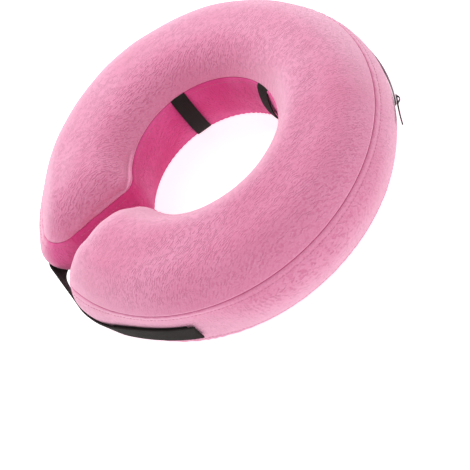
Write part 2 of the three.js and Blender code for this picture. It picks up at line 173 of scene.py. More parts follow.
class CollarColours(bpy.types.PropertyGroup):
    """Colours of the cloth, the webbing and the zip."""

    plush: colour("Plush", (0.62, 0.190, 0.320), "The plush where its pile lies flat")
    plush_light: colour("Plush highlights", (0.70, 0.275, 0.425), "The tips of the pile")
    # Painted shade: the inner and end walls' pile, deepened for the shade in the neck and at the
    # ends.
    plush_inner: colour("Inner plush", (0.60, 0.045, 0.210), "The inner and end walls' flat pile")
    fuzz: colour("Fuzz", (0.94, 0.70, 0.80), "The standing fibres, seen against the light")
    # Painted shade, as on the inner plush, at the tips of the pile.
    inner_light: colour("Inner plush highlights", (0.74, 0.130, 0.350), "The tips of their pile")
    # Painted shade: the deepest colour, put in the seams and in the valleys of the pile where shade
    # falls.
    plush_deep: colour("Plush depths", (0.46, 0.040, 0.160), "Between the tufts and in the seams")
    thread: colour("Thread", (0.48, 0.10, 0.22), "The sewing thread")
    webbing: colour("Webbing", (0.012, 0.010, 0.009), "The webbing's ribs")
    webbing_light: colour("Webbing highlights", (0.026, 0.022, 0.020), "Worn ribs of the webbing")
    zip_tape: colour("Zip", (0.32, 0.24, 0.28), "The zip's coil and tape")
    metal: colour("Slider", (0.05, 0.05, 0.055), "The slider's paint")
    floor: colour("Floor", (0.92, 0.92, 0.92), "The floor")


def group(name):
    """A property group of the scene: ring, cloth, webbing, zip or colours."""
    return getattr(bpy.context.scene, "collar_" + name)


# The collar's surfaces. Angles run anticlockwise from the split at -Y, and the near end comes
# first. along runs from the near end (0) to the far one (1), across from the neck (0) to the rim
# (1), and down from the face seam (0) to the back seam (1).

NECK, RIM = 0, 1
NEAR, FAR = 0, 1
FACING = (-1, 1)  # the way in X that each end wall faces
CORNER = 0.05  # the share of along that each corner's round takes up
SLOPE_REACH = 1e-3  # of along, over which a seam's direction is taken
FLATTENING = 1.35  # how early the back's crown reaches the floor

# Folds that run into an end seam: where each lies across the face, its width there and its depth.
FOLDS = np.array(
    [
        (0.10, 0.09, 1.00),
        (0.34, 0.06, 0.50),
        (0.62, 0.07, 0.65),
        (0.86, 0.08, 0.90),
    ],
    dtype=[("across", float), ("width", float), ("depth", float)],
)


def mix(low, high, share):
    """low + (high - low) * share."""
    return low + (high - low) * share


def ease(share):
    """3s^2 - 2s^3 of a share held between 0 and 1."""
    share = np.clip(share, 0, 1)
    return share * share * (3 - 2 * share)


def arch(share):
    """4s(1 - s)."""
    return 4 * share * (1 - share)


def crown(share):
    """1 - |2s - 1|^3, a hump that is fuller than an arch."""
    return 1 - np.abs(2 * share - 1) ** 3


def bump(distance, width):
    """exp(-(distance / width)^2)."""
    return np.exp(-((distance / width) ** 2))


def to_end(along):
    """The share of the collar between a place along it and the nearest end."""
    return np.minimum(along, 1 - along)


def unit(vectors):
    """Each vector over its length."""
    return vectors / (np.linalg.norm(vectors, axis=-1, keepdims=True) + 1e-12)


def neck_radius(turn):
    """Mean radius, less a skew times cos(turn), plus an oval times cos(2 turn)."""
    ring = group("ring")
    ends = (ring.neck_rear + ring.neck_split) / 2
    skew = (ring.neck_rear - ring.neck_split) / 2
    oval = (ends - ring.neck_side) / 2
    return (ends + ring.neck_side) / 2 - skew * np.cos(turn) + oval * np.cos(2 * turn)


def corner_round(side, end):
    """The size of the round at one of the four corners."""
    ring = group("ring")
    rounds = (
        (ring.near_neck_round, ring.far_neck_round),
        (ring.near_rim_round, ring.far_rim_round),
    )
    return rounds[side][end]


def edge_x(end, radius):
    """The x of an end's edge, a straight line in plan from the neck to the rim."""
    ring = group("ring")
    share = (radius - ring.neck_split) / (ring.rim_radius - ring.neck_split)
    half = mix(ring.split_neck, ring.split_rim, share) / 2
    return -mix(ring.shift_neck, ring.shift_rim, share) - FACING[end] * half


def corner_plan(side, end, share):
    """A quarter round from the end edge (0) to the long side (1): depth r(1 - sin), width r(1 -
    cos)."""
    ring = group("ring")
    quarter = np.asarray(share) * math.pi / 2
    size = corner_round(side, end)
    depth = size * (1 - np.sin(quarter))
    radius = ring.rim_radius - depth if side == RIM else ring.neck_split + depth
    x = edge_x(end, radius) - FACING[end] * size * (1 - np.cos(quarter))
    return np.stack([x, -np.sqrt(radius**2 - x**2)], -1)


def corner_angle(side, end):
    """The angle where a corner's round meets the long side."""
    x, y = corner_plan(side, end, 1.0)
    return math.atan2(x, -y) + end * TURN


def angle_at(side, along):
    """The angle at a place along the collar, which runs evenly between the two corners."""
    share = np.clip((along - CORNER) / (1 - 2 * CORNER), 0, 1)
    return mix(corner_angle(side, NEAR), corner_angle(side, FAR), share)


def seam_plan(side, along):
    """The face seam in plan: the near quarter round, the long arc, the far quarter round."""
    along = np.asarray(along, float)
    turn = angle_at(side, along)
    if side == RIM:
        radius = np.full_like(turn, group("ring").rim_radius)
    else:
        split = group("ring").neck_split
        step = [neck_radius(corner_angle(NECK, end)) - split for end in (NEAR, FAR)]
        settle = np.where(along > 0.5, step[1], step[0]) * np.clip(2 - to_end(along) / CORNER, 0, 1)
        radius = neck_radius(turn) - settle
    plan = np.stack([radius * np.sin(turn), -radius * np.cos(turn)], -1)
    for end, at in ((NEAR, along), (FAR, 1 - along)):
        inside = at < CORNER
        share = np.where(inside, at, 0) / CORNER
        plan = np.where(inside[..., None], corner_plan(side, end, share), plan)
    return plan


def plan_normal(side, along):
    """Out of the ring, square to the seam in plan."""
    after = seam_plan(side, np.minimum(1, along + SLOPE_REACH))
    before = seam_plan(side, np.maximum(0, along - SLOPE_REACH))
    tangent = unit(after - before)
    out = 1 if side == RIM else -1
    return np.stack([tangent[..., 1] * out, -tangent[..., 0] * out], -1)


def rim_swell(turn):
    """Swell of the outer wall at mid height: little under the strap, most at the far end."""
    ring = group("ring")
    half = turn / math.pi
    rear = mix(ring.near_bulge, ring.rear_bulge, half)
    free = np.where(half < 1, rear, mix(ring.rear_bulge, ring.far_bulge, ease(half - 1) ** 2))
    pressed = np.exp(-(((turn - ring.pressed_at) / ring.pressed_spread) ** 4))
    return mix(free, ring.pressed_bulge, pressed)


def heights(side):
    """The heights of the face seam and of the back seam."""
    ring = group("ring")
    if side == RIM:
        return ring.rise_rim + ring.outer_height, ring.rise_rim
    return ring.rise_neck + ring.inner_height, ring.rise_neck


def wall(side, along, down):
    """A long wall from the face seam (0) down to the back seam (1): the seam's plan, moved out by
    swell * arch(down) - lean * down."""
    ring = group("ring")
    top, foot = heights(side)
    ends = ease(to_end(along) / CORNER)
    turn = angle_at(side, along)
    bulge = rim_swell(turn) if side == RIM else ring.inner_bulge
    inset = ring.inset_rim if side == RIM else ring.back_neck - neck_radius(turn)
    swell = mix(ring.end_bulge, bulge, ends)
    lean = mix(ring.inset_end, inset, ends)
    out = (swell * arch(down) - lean * down)[..., None]
    plan = seam_plan(side, along) + plan_normal(side, along) * out
    return np.concatenate([plan, mix(top, foot, down)[..., None]], -1)


def end_wall(end, across, down):
    """An end wall: straight between its two corners, with a swell of crown * arch(across) *
    arch(down)."""
    at = np.full_like(across, float(end))
    span = seam_plan(RIM, float(end)) - seam_plan(NECK, float(end))
    run = span / np.linalg.norm(span)
    swell = -FACING[end] * group("ring").end_crown * arch(across) * arch(down)
    point = mix(wall(NECK, at, down), wall(RIM, at, down), across[..., None])
    return point + swell[..., None] * np.array([run[1], -run[0], 0])


def end_distance(along):
    """How far the face's middle line at a place along the collar lies from that of the nearest
    end."""

    def middle(at):
        return (seam_plan(NECK, at) + seam_plan(RIM, at)) / 2

    return np.linalg.norm(middle(along) - middle(np.round(along)), axis=-1)


def end_rise(along):
    """1 - (1 - distance / run)^3, from the end seam to the full dome."""
    return 1 - (1 - np.minimum(1, end_distance(along) / group("ring").dome_run)) ** 3


def face(along, across):
    """The face: straight across in plan, raised by dome * crown(across) * end_rise(along), less the
    folds, each a bump across that rises and fades along as n * exp(1 - n), n being distance /
    run."""
    ring = group("ring")
    plan = mix(seam_plan(NECK, along), seam_plan(RIM, along), across[..., None])
    near = end_distance(along) / ring.fold_run
    near = near * np.exp(1 - near)
    folds = sum(f["depth"] * bump(across - f["across"], f["width"]) for f in FOLDS)
    z = mix(heights(NECK)[0], heights(RIM)[0], across)
    z = z + crown(across) * (ring.dome * end_rise(along) - ring.fold_depth * near * folds)
    return np.concatenate([plan, z[..., None]], -1)


def back(along, across):
    """The back: straight between its seams and sunk onto the floor, z times 1 - the sag, which is
    flattening * crown(across) * end_rise(along) held under 1."""
    one = np.ones_like(across)
    point = mix(wall(NECK, along, one), wall(RIM, along, one), across[..., None])
    sag = np.minimum(1, FLATTENING * crown(across) * end_rise(along))
    point[..., 2] *= 1 - sag
    return point


WAVES = 14


def ripple(points, wave, seed):
    """Smooth unevenness: a sum of sine waves of about this wavelength in seeded directions, over
    the root of half their number."""
    random = np.random.RandomState(seed)
    directions = unit(random.normal(size=(WAVES, 3))) * random.uniform(0.7, 1.4, (WAVES, 1))
    phases = random.uniform(0, TURN, WAVES)
    waves = np.sin(points @ directions.T * TURN / wave + phases)
    return waves.sum(-1) / math.sqrt(WAVES / 2)


# The cover as one closed grid: rings of points along the collar, each going up the inner wall, over
# the face, down the outer wall and back under, and a patch over each end.

# Steps along the ring, across a panel and down a wall, and how far they crowd at a panel's edges.
COVER_STEPS = (500, 60, 32, 0.82)
BLOWN_STEPS = (190, 22, 12, 0)


def dense_ends(count, gather):
    """count + 1 shares from 0 to 1 that crowd at both ends: t - gather sin(2 pi t) / (2 pi)."""
    share = np.linspace(0, 1, count + 1)
    return share - gather * np.sin(TURN * share) / TURN


class Cover:
    """The cover's grid with a number of steps along the ring, across a panel and down a wall. A
    ring has 2a + 2d points: up the inner wall, over the face, down the outer wall and back
    under."""

    def __init__(self, along, across, down, gather):
        corner = max(4, along // 20)
        self.along = np.concatenate(
            [
                np.linspace(0, CORNER, corner + 1)[:-1],
                np.linspace(CORNER, 1 - CORNER, along - 2 * corner + 1),
                np.linspace(1 - CORNER, 1, corner + 1)[1:],
            ]
        )
        self.across = dense_ends(across, gather)
        self.down = dense_ends(down, gather)
        self.a, self.d = across, down
        self.rows, self.loop = len(self.along), 2 * (across + down)
        # Columns of a ring: its seams, the face from the neck's seam on, and the outer wall between
        # its seams.
        self.face_seams = (down, down + across)
        self.back_seams = (0, 2 * down + across)
        self.on_face = slice(down, down + across)
        self.on_outer = slice(down + across + 1, 2 * down + across)

    def rings(self, values):
        """The part of an array of the cover's points that lies on the rings, by ring and by
        column."""
        return values[: self.rows * self.loop].reshape(self.rows, self.loop, *values.shape[1:])

    def inner(self, values, end):
        """The part that lies inside an end wall, by its place across and down."""
        shape = self.a - 1, self.d - 1
        start = self.rows * self.loop + end * shape[0] * shape[1]
        return values[start : start + shape[0] * shape[1]].reshape(*shape, *values.shape[1:])

    def ring(self):
        """Points of the rings, shape (along, 2a + 2d, 3)."""
        t = self.along[:, None]
        up, over = self.down[None, ::-1][:, :-1], self.across[None, :-1]
        under, sink = self.across[None, ::-1][:, :-1], self.down[None, :-1]

        def grid(surface, share):
            return surface(*np.broadcast_arrays(t, share))

        return np.concatenate(
            [
                grid(lambda u, v: wall(NECK, u, v), up),
                grid(face, over),
                grid(lambda u, v: wall(RIM, u, v), sink),
                grid(back, under),
            ],
            axis=1,
        )

    def patch(self, end):
        """Points of an end wall, shape (a + 1, d + 1, 3). Its border is the ring's at that end."""
        across, down = np.meshgrid(self.across, self.down, indexing="ij")
        return end_wall(end, across, down)

    def border(self):
        """A patch's border in the order of a ring's points: their places across and down."""
        a, d = self.a, self.d
        across = [np.zeros(d, int), np.arange(a), np.full(d, a), np.arange(a, 0, -1)]
        down = [np.arange(d, 0, -1), np.zeros(a, int), np.arange(d), np.full(a, d)]
        return np.concatenate(across), np.concatenate(down)

    def faces(self):
        """Quads of the rings and of both patches, all pointing out, and the index grids of the
        patches."""
        count = self.rows * self.loop + 2 * (self.a - 1) * (self.d - 1)
        ring = self.rings(np.arange(count))
        after = np.roll(ring, -1, axis=1)
        quads = [np.stack([ring[:-1], ring[1:], after[1:], after[:-1]], -1).reshape(-1, 4)]
        grids = []
        for end in (NEAR, FAR):
            grid = np.full((self.a + 1, self.d + 1), -1)
            grid[self.border()] = ring[-end]
            grid[1:-1, 1:-1] = self.inner(np.arange(count), end)
            corners = [grid[:-1, :-1], grid[1:, :-1], grid[1:, 1:], grid[:-1, 1:]]
            if end == FAR:
                corners = corners[::-1]
            quads.append(np.stack(corners, -1).reshape(-1, 4))
            grids.append(grid)
        return np.concatenate(quads), grids

    def points(self):
        """Every point: those of the rings, then those inside the two end walls."""
        inner = [self.patch(end)[1:-1, 1:-1].reshape(-1, 3) for end in (NEAR, FAR)]
        return np.concatenate([self.ring().reshape(-1, 3), *inner])


def grid_normals(points, quads):
    """Each point's normal: the sum of the cross products of its quads' diagonals."""
    corners = points[quads]
    cross = np.cross(corners[:, 2] - corners[:, 0], corners[:, 3] - corners[:, 1])
    normals = np.zeros_like(points)
    for k in range(4):
        for axis in range(3):
            normals[:, axis] += np.bincount(quads[:, k], cross[:, axis], len(points))
    return unit(normals)


def new_mesh(name, points, quads):
    """A mesh object from arrays of points and of faces with one number of corners."""
    mesh = bpy.data.meshes.new(name)
    mesh.vertices.add(len(points))
    mesh.vertices.foreach_set("co", np.asarray(points, np.float32).ravel())
    corners = quads.shape[1]
    mesh.loops.add(quads.size)
    mesh.loops.foreach_set("vertex_index", quads.astype(np.int32).ravel())
    mesh.polygons.add(len(quads))
    mesh.polygons.foreach_set("loop_start", np.arange(0, quads.size, corners, dtype=np.int32))
    mesh.polygons.foreach_set("use_smooth", np.ones(len(quads), bool))
    mesh.update(calc_edges=True)
    mesh.validate()
    piece = bpy.data.objects.new(name, mesh)
    bpy.context.scene.collection.objects.link(piece)
    return piece


def point_value(piece, name, values):
    """A number for each point, which a material reads by its name."""
    layer = piece.data.attributes.new(name, "FLOAT", "POINT")
    layer.data.foreach_set("value", np.asarray(values, np.float32).ravel())


def volume(points, quads):
    """Six times the volume inside, by the cross products of a fan over each face."""
    a, b, c = points[quads[:, 0]], points[quads[:, 1]], points[quads[:, 2]]
    total = np.einsum("ij,ij->", a, np.cross(b, c))
    if quads.shape[1] == 4:
        total += np.einsum("ij,ij->", a, np.cross(c, points[quads[:, 3]]))
    return total


def facing_out(points, quads):
    """The faces as they are, or turned over where the volume inside comes out negative."""
    return quads if volume(points, quads) > 0 else quads[:, ::-1]


def dress(piece, material, slot, *nodes):
    """Gives a piece its material and its body, and hides the nodes it stands for. The slot is not
    used.
    """
    piece.data.materials.clear()
    piece.data.materials.append(material)
    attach(piece, "root")
    if nodes:
        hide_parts(*nodes)


START_INSET = 0.5 * MM  # how far inside the cover's shape the simulation starts
SIMULATED_FRAMES = 20
HELD_WALL = 0.07  # the share of its swell left to a wall, which the strap and the zip are sewn to
FLAT_BACK = 0.3 * MM  # the back is held where it is lower than this


def blow_up(cover):
    """Cloth simulation of a coarse cover. Its seams and the flat of its back are held, pressure
    swells the rest from a slightly smaller start. Returns how far each point moved along its
    normal."""
    points = cover.points()
    quads = facing_out(points, cover.faces()[0])
    normals = grid_normals(points, quads)
    held = held_points(cover, points)
    start = points - normals * (START_INSET * (1 - held))[:, None]
    piece = new_mesh("blown_cover", start, quads)
    hold = piece.vertex_groups.new(name="held")
    hold.add(np.flatnonzero(held).tolist(), 1.0, "REPLACE")
    cloth = piece.modifiers.new("air", "CLOTH")
    cloth.settings.quality = 5
    cloth.settings.mass = 0.2
    cloth.settings.tension_stiffness = 20
    cloth.settings.compression_stiffness = 20
    cloth.settings.bending_stiffness = 4
    cloth.settings.use_pressure = True
    cloth.settings.uniform_pressure_force = 6
    cloth.settings.vertex_group_mass = "held"
    cloth.settings.effector_weights.gravity = 0
    scene = bpy.context.scene
    for step in range(SIMULATED_FRAMES):
        scene.frame_set(1 + step)
    shaped = piece.evaluated_get(bpy.context.evaluated_depsgraph_get())
    ended = np.empty(len(points) * 3, np.float32)
    shaped.data.vertices.foreach_get("co", ended)
    moved = np.einsum("ij,ij->i", ended.reshape(-1, 3) - points, normals)
    mesh = piece.data
    bpy.data.objects.remove(piece)
    bpy.data.meshes.remove(mesh)
    scene.frame_set(1)
    wall_mask = panel_masks(cover, len(points))[1]
    limit = group("cloth").swell_limit * np.where(wall_mask > 0, HELD_WALL, 1)
    return np.clip(moved, 0, limit)


def held_points(cover, points):
    """1 on the seams and on the flat of the back, and 0 elsewhere."""
    held = np.zeros(len(points))
    ring = cover.rings(held)
    ring[:, cover.face_seams + cover.back_seams] = 1
    ring[[0, -1]] = 1
    held[points[:, 2] < FLAT_BACK] = 1
    return held


def resample(values, old, new, axis):
    """Cubic interpolation of values from the shares old to the shares new along one axis: between
    two of them the Hermite cubic through their values, with the slopes between their neighbours."""
    values = np.moveaxis(values, axis, 0)
    at = np.clip(np.searchsorted(old, new, side="right") - 1, 0, len(old) - 2)
    low, high = np.maximum(at - 1, 0), np.minimum(at + 2, len(old) - 1)
    span = (old[at + 1] - old[at])[:, None]
    t = ((new - old[at]) / (old[at + 1] - old[at]))[:, None]
    slope_a = (values[at + 1] - values[low]) / (old[at + 1] - old[low])[:, None] * span
    slope_b = (values[high] - values[at]) / (old[high] - old[at])[:, None] * span
    a, b = values[at], values[at + 1]
    out = (2 * t**3 - 3 * t**2 + 1) * a + (t**3 - 2 * t**2 + t) * slope_a
    out += (3 * t**2 - 2 * t**3) * b + (t**3 - t**2) * slope_b
    return np.moveaxis(out, 0, axis)


def spread_swell(swell, coarse, fine):
    """The coarse cover's movement on the fine cover's points, panel by panel."""
    ring = coarse.rings(swell)
    ring = np.concatenate([ring, ring[:, :1]], axis=1)
    stops = np.cumsum([0, coarse.d, coarse.a, coarse.d, coarse.a])
    shares = (
        (1 - coarse.down[::-1], 1 - fine.down[::-1]),
        (coarse.across, fine.across),
        (coarse.down, fine.down),
        (1 - coarse.across[::-1], 1 - fine.across[::-1]),
    )
    panels = []
    for k, (old, new) in enumerate(shares):
        part = ring[:, stops[k] : stops[k + 1] + 1]
        panels.append(resample(resample(part, old, new[:-1], 1), coarse.along, fine.along, 0))
    parts = [np.concatenate(panels, axis=1).ravel()]
    for end in (NEAR, FAR):
        grid = np.pad(coarse.inner(swell, end), 1)
        grid = resample(resample(grid, coarse.across, fine.across, 0), coarse.down, fine.down, 1)
        parts.append(grid[1:-1, 1:-1].ravel())
    return np.concatenate(parts)


def seam_distances(points, cover):
    """For each point, its distance to the nearest face seam, to the nearest back seam and to the
    end's vertical edge, and how far along the collar it is. Distances run over the cloth, along the
    grid."""
    ring = cover.rings(points)
    steps = np.linalg.norm(np.roll(ring, -1, axis=1) - ring, axis=-1)
    run = np.cumsum(steps, axis=1)
    total = run[:, -1:]
    run = run - steps

    def to(corner):
        gap = np.abs(run - run[:, corner : corner + 1])
        return np.minimum(gap, total - gap)

    face_seam, back_seam = (
        np.minimum(*map(to, seams)) for seams in (cover.face_seams, cover.back_seams)
    )
    forward = np.linalg.norm(np.diff(ring, axis=0), axis=-1)
    walked = np.pad(np.cumsum(forward, axis=0), ((1, 0), (0, 0)))
    end_seam = np.minimum(walked, walked[-1:] - walked)
    length_along = np.broadcast_to(walked.mean(1, keepdims=True), walked.shape)
    parts = [[face_seam, back_seam, end_seam, length_along]]
    for end in (NEAR, FAR):
        grid = cover.inner(points, end)
        edge = ring[-end]
        top, foot = edge[cover.on_face][1:], edge[::-1][: cover.a - 1]
        over, under = (np.linalg.norm(grid - each[:, None], axis=-1) for each in (top, foot))
        place, rest = (np.linalg.norm(grid - each, axis=-1) for each in (grid[:1], grid[-1:]))
        parts.append([over, under, np.minimum(place, rest), place])
    return [np.concatenate([part.ravel() for part in each]) for each in zip(*parts)]


def panel_masks(cover, count):
    """1 on the face, on the two long walls and on the back, each as an array."""
    masks = np.zeros((3, count))
    face_mask, wall_mask, back_mask = (cover.rings(mask) for mask in masks)
    column = np.arange(cover.loop)
    face_mask[:] = (column >= cover.face_seams[0]) & (column <= cover.face_seams[1])
    back_mask[:] = (column >= cover.back_seams[1]) | (column == cover.back_seams[0])
    wall_mask[:] = 1 - np.maximum(face_mask, back_mask)
    return masks


# How deep the painted shade goes on the outer wall round the far corner.
FAR_CORNER_PAINTED_SHADE = 0.85


def inner_share(cover, count):
    """The share of painted shade on the plush: 1 on the inner wall and the end walls, 0 elsewhere,
    but on the outer wall the far corner's painted shade times ease(how far round the first half of
    the far corner), which carries the painted shade round that corner."""
    inner = np.ones(count)
    ring = cover.rings(inner)
    ring[:, cover.d :] = 0
    round_corner = (cover.along[:, None] - 1 + CORNER) / (0.5 * CORNER)
    ring[:, cover.on_outer] = FAR_CORNER_PAINTED_SHADE * ease(round_corner)
    return inner


# The sewing's smaller lengths: how far the puckers and the drawn cloth reach from a seam and start
# beside it, how deep the cloth is drawn at the end seams, and where the corner lip and its valley
# lie.
PUCKER_REACH, PUCKER_START = 7 * MM, 1.2 * MM
DRAWN_REACH, DRAWN_START, DRAWN_DEPTH = 11 * MM, 2 * MM, 0.9 * MM
SLACK_START = 14 * MM
STITCH_VALLEY = 0.9 * MM
LIP_AT, LIP_WIDTH = 2.2 * MM, 1.3 * MM
LIP_VALLEY_AT, LIP_VALLEY_WIDTH = 5 * MM, 1.1 * MM


def beside(distance, start, reach):
    """exp(-distance / reach) * (1 - exp(-distance / start)): nothing on a seam, most close beside
    it."""
    return np.exp(-distance / reach) * (1 - np.exp(-distance / start))


def sewn_relief(points, cover):
    """How far the sewing moves each point along its normal: a bump's valley along the seams, the
    allowance's ridge and the top stitches' valley beside them, puckers as a sine along the seam and
    drawn cloth at the ends that fade from it, the slack's ripple between the seams, and the corner
    lip."""
    cloth = group("cloth")
    top, foot, end, place = seam_distances(points, cover)
    face_mask, wall_mask, back_mask = panel_masks(cover, len(points))
    flat_mask = face_mask + back_mask
    edge = np.minimum(top, foot)
    edge = np.where(flat_mask > 0, np.minimum(end, edge), edge)
    relief = -cloth.groove * bump(edge, cloth.groove_width)
    ridge = bump(edge - 0.5 * cloth.allowance, 0.38 * cloth.allowance)
    relief += cloth.ridge * ridge * (0.2 + 0.8 * wall_mask)
    relief -= 0.7 * cloth.ridge * bump(edge - cloth.allowance, STITCH_VALLEY) * wall_mask
    tight = 0.55 + 0.45 * ripple(points, 90 * MM, 3)
    phase = TURN * place / cloth.pucker_pitch + 1.6 * ripple(points, 30 * MM, 4)
    fade = beside(edge, PUCKER_START, PUCKER_REACH)
    relief += cloth.pucker * np.sin(phase) * fade * tight * (1 - 0.5 * flat_mask)
    drawn = beside(end, DRAWN_START, DRAWN_REACH) * face_mask
    relief += DRAWN_DEPTH * drawn * ripple(points * [0.25, 1, 1], 15 * MM, 5)
    slack = 0.5 * ripple(points, 75 * MM, 6) + 0.25 * ripple(points, 34 * MM, 7)
    relief += cloth.slack * slack * (1 - np.exp(-edge / SLACK_START)) * (1 - back_mask)
    lip = bump(edge - LIP_AT, LIP_WIDTH) - 0.7 * bump(edge - LIP_VALLEY_AT, LIP_VALLEY_WIDTH)
    relief += cloth.lip * corner_lip(cover, len(points)) * lip
    return relief, edge


LIP_FROM, LIP_RISE = 0.87, 0.05  # of along


def corner_lip(cover, count):
    """On the neck's half of the face ease((along - its start) / its rise), and 0 elsewhere, so that
    the lip runs round the far corner and fades along the neck's seam."""
    lip = np.zeros(count)
    share = ease((cover.along[:, None] - LIP_FROM) / LIP_RISE)
    cover.rings(lip)[:, cover.d : cover.d + cover.a // 2] = share
    return lip


LEAN_ACROSS = 0.625  # the share of the face's width that leans
LEAN_FROM, LEAN_RISE = -20 * MM, 70 * MM  # in x, over which the lean sets in


def neck_lean(cover, points):
    """How far the face leans over the neck: lean * sin(pi * across / width)^2 * ease((x - from) /
    rise)."""
    lean = np.zeros(len(points))
    share = np.minimum(cover.across[:-1] / LEAN_ACROSS, 1)
    cover.rings(lean)[:, cover.on_face] = np.sin(math.pi * share) ** 2
    return group("cloth").lean * lean * ease((points[:, 0] - LEAN_FROM) / LEAN_RISE)


def build_cover():
    """The plush cover, blown up, with its seams sewn in: the grid's points, moved along their
    normals by the simulation's swell and then by the relief and the lean."""
    fine = Cover(*COVER_STEPS)
    points = fine.points()
    quads = facing_out(points, fine.faces()[0])
    normals = grid_normals(points, quads)
    coarse = Cover(*BLOWN_STEPS)
    swell = spread_swell(blow_up(coarse), coarse, fine)
    points = points + normals * swell[:, None]
    normals = grid_normals(points, quads)
    relief, edge = sewn_relief(points, fine)
    points = points + normals * (relief + neck_lean(fine, points))[:, None]
    points[:, 2] = np.maximum(points[:, 2], 0)
    piece = new_mesh("plush_cover", points, quads)
    point_value(piece, "edge", edge / MM)
    # The inner share: where painted shade deepens the plush, on the inner and end walls and round
    # the far corner.
    point_value(piece, "inner", inner_share(fine, len(points)))
    dress(
        piece, plush(), "plush",
        "face_panel", "back_panel", "outer_wall", "inner_wall", "end_wall_near", "end_wall_far",
    )


# Threads and bands

def squared_off(wave, exponent):
    """A sine's or cosine's sign times its size to a power under 1, which squares a circle off."""
    return np.sign(wave) * np.abs(wave) ** exponent


def tubes(starts, ends, lifts, radius, sides=6, rings=5):
    """Short threads, each an arc from its start to its end raised by its lift, as arrays of points
    and quads: P(s) = start + s (end - start) + lift * sin(pi s), with a round of this radius about
    it."""
    s = np.linspace(0, 1, rings)[None, :, None]
    middle = starts[:, None] + s * (ends - starts)[:, None] + lifts[:, None] * np.sin(math.pi * s)
    along = unit(ends - starts)[:, None, None]
    up = unit(lifts)[:, None, None]
    side = np.cross(along, up)
    turn = np.linspace(0, TURN, sides, endpoint=False)[None, None, :, None]
    taper = (0.35 + 0.65 * np.sin(math.pi * np.clip(s, 0.08, 0.92)) ** 0.4)[..., None]  # thin tips
    points = middle[:, :, None] + radius * taper * (np.cos(turn) * side + np.sin(turn) * up)
    count = len(starts)
    index = np.arange(count * rings * sides).reshape(count, rings, sides)
    after = np.roll(index, -1, axis=2)
    body = np.stack([index[:, :-1], after[:, :-1], after[:, 1:], index[:, 1:]], -1).reshape(-1, 4)
    caps = []
    for ring, flip in ((index[:, 0], True), (index[:, -1], False)):
        for k in range(1, sides - 2, 2):
            quad = np.stack([ring[:, 0], ring[:, k], ring[:, k + 1], ring[:, k + 2]], -1)
            caps.append(quad[:, ::-1] if flip else quad)
    return points.reshape(-1, 3), np.concatenate([body] + caps)


STITCH_SINK, STITCH_LIFT = 0.15, 0.35  # of the thread, into the cloth and out of it


def stitch_row(line, normals):
    """Stitches end to end along a line of points on the cloth, with the cloth's normals there:
    tubes between points that lie a stitch apart along the line, a pitch from one to the next."""
    cloth = group("cloth")
    walked = np.concatenate([[0], np.cumsum(np.linalg.norm(np.diff(line, axis=0), axis=1))])
    first = np.arange(1, int(walked[-1] / cloth.stitch_pitch) - 1) * cloth.stitch_pitch

    def at(values, distance):
        return np.stack([np.interp(distance, walked, values[:, axis]) for axis in range(3)], -1)

    out = unit(at(normals, first + cloth.stitch / 2)) * cloth.thread
    start, stop = (at(line, place) - STITCH_SINK * out for place in (first, first + cloth.stitch))
    return tubes(start, stop, STITCH_LIFT * out, cloth.thread / 2)


def joined(parts):
    """One array of points and one of faces from several pairs of them."""
    points, faces = zip(*parts)
    starts = np.cumsum([0] + [len(each) for each in points])
    return np.concatenate(points), np.concatenate([f + start for f, start in zip(faces, starts)])


def build_stitches():
    """Top stitches on the walls, an allowance's width from the face seams and the outer back seam:
    rows along the grid's columns, mixed between the two nearest."""
    cover, mesh = Cover(*COVER_STEPS), bpy.data.objects["plush_cover"].data
    count = len(mesh.vertices)
    points, normals = np.empty((2, count * 3), np.float32)
    mesh.vertices.foreach_get("co", points)
    mesh.vertex_normals.foreach_get("vector", normals)
    values = np.concatenate([points.reshape(-1, 3), normals.reshape(-1, 3)], axis=1)
    ring = np.moveaxis(cover.rings(values), 1, 0)
    grids = [np.moveaxis(values[grid], 1, 0) for grid in cover.faces()[1]]
    allowance, sizes = group("cloth").allowance, group("ring")

    def column(share):
        return np.interp(share, cover.down, np.arange(cover.d + 1))

    outer, inner = allowance / sizes.outer_height, allowance / sizes.inner_height
    places = [
        (ring, cover.face_seams[1] + column(outer)),
        (ring, cover.face_seams[1] + column(1 - outer)),
        (ring, cover.face_seams[0] - column(inner)),
        (grids[NEAR], column(outer)),
        (grids[FAR], column(outer)),
    ]
    parts = []
    for lines, at in places:
        low = int(at)
        line = mix(lines[low], lines[low + 1], at - low)
        parts.append(stitch_row(line[:, :3], line[:, 3:]))
    dress(new_mesh("top_stitches", *joined(parts)), thread(), "plush")


def band(frames, width, thickness, edge=0.35, across=14):
    """A flat band carried along a path. frames holds for each step its middle, its crosswise unit
    vector and its outward one. The section is a flat oval: x = w/2 cos^e, y = t/2 sin^e, e under
    1."""
    turn = np.linspace(0, TURN, 2 * across, endpoint=False)
    x = squared_off(np.cos(turn), edge) * width / 2
    y = squared_off(np.sin(turn), edge) * thickness / 2
    middle, cross, out = frames
    points = middle[:, None] + x[None, :, None] * cross[:, None] + y[None, :, None] * out[:, None]
    rows, loop = points.shape[:2]
    index = np.arange(rows * loop).reshape(rows, loop)
    after = np.roll(index, -1, axis=1)
    quads = [np.stack([index[:-1], index[1:], after[1:], after[:-1]], -1).reshape(-1, 4)]
    for ring, flip in ((index[0], False), (index[-1], True)):
        half = loop // 2
        low, high = ring[:half], ring[::-1][:half]
        strip = np.stack([low[:-1], low[1:], high[1:], high[:-1]], -1)
        quads.append(strip[:, ::-1] if flip else strip)
    points = points.reshape(-1, 3)
    quads = np.concatenate(quads)
    walked = np.concatenate([[0], np.cumsum(np.linalg.norm(np.diff(middle, axis=0), axis=1))])
    weave = np.stack(np.broadcast_arrays(x[None, :], walked[:, None]), -1).reshape(-1, 2)
    return points, facing_out(points, quads), weave


